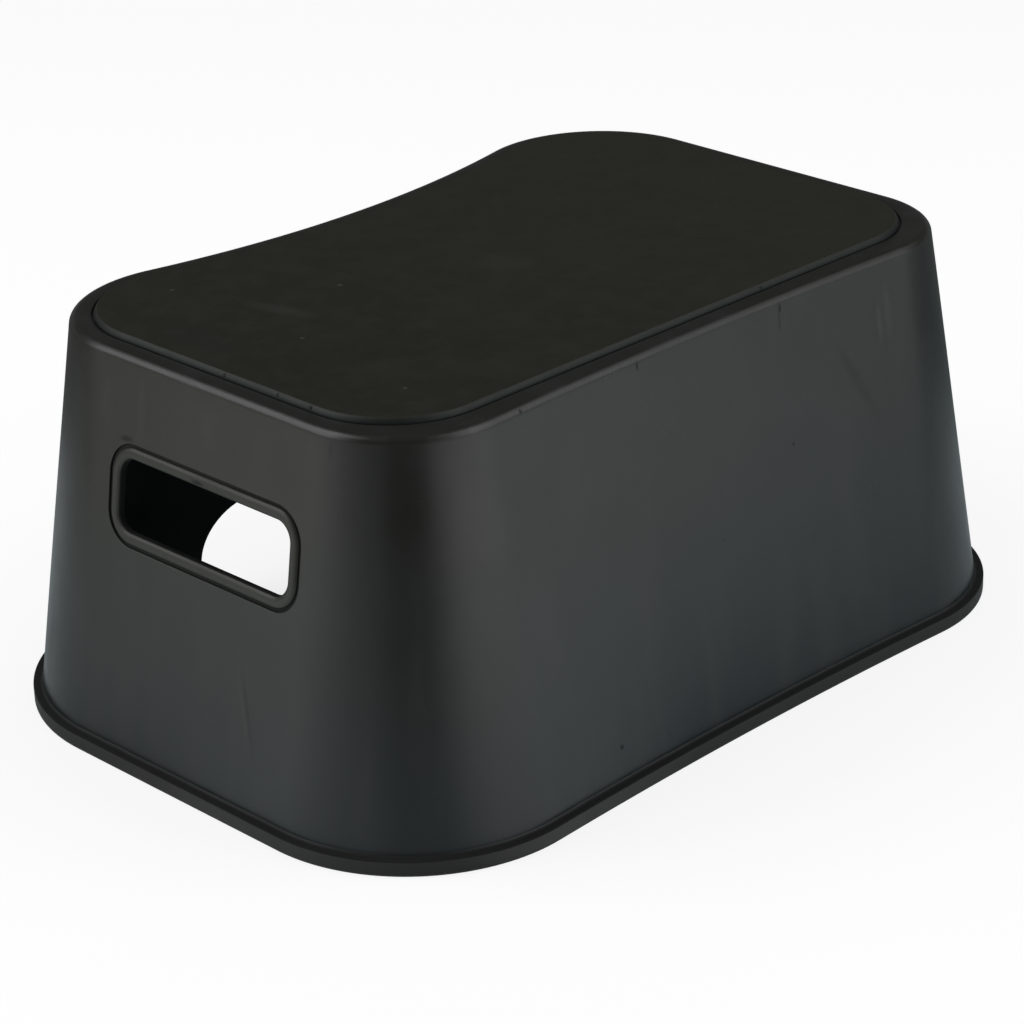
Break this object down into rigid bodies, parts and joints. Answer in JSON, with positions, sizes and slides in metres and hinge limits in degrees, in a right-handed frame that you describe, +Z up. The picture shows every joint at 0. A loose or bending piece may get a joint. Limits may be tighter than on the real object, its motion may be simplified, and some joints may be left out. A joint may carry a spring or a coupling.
{
  "type": "plastic step stool",
  "caption": "Low one-step stool: a hollow drafted plastic shell with ringed hand slots in its ends, a waisted arched back, a foot rim and a rubber tread mat.",
  "frame": {"origin": "on the floor, at the centre of the stool's bounding box", "axes": "+Z up, +X along the stool's length, -Y towards the straighter front side, +Y towards the waisted back with the arch"},
  "size_m": [0.4378, 0.3091, 0.189],
  "materials": {
    "shell_plastic": "black moulded polypropylene with a satin skin",
    "tread_rubber": "matt black rubber, a little dusty and warm in tone"
  },
  "bodies": {
    "root": {"body": "shell_plastic", "tread_mat": "tread_rubber"}
  },
  "joints": []
}
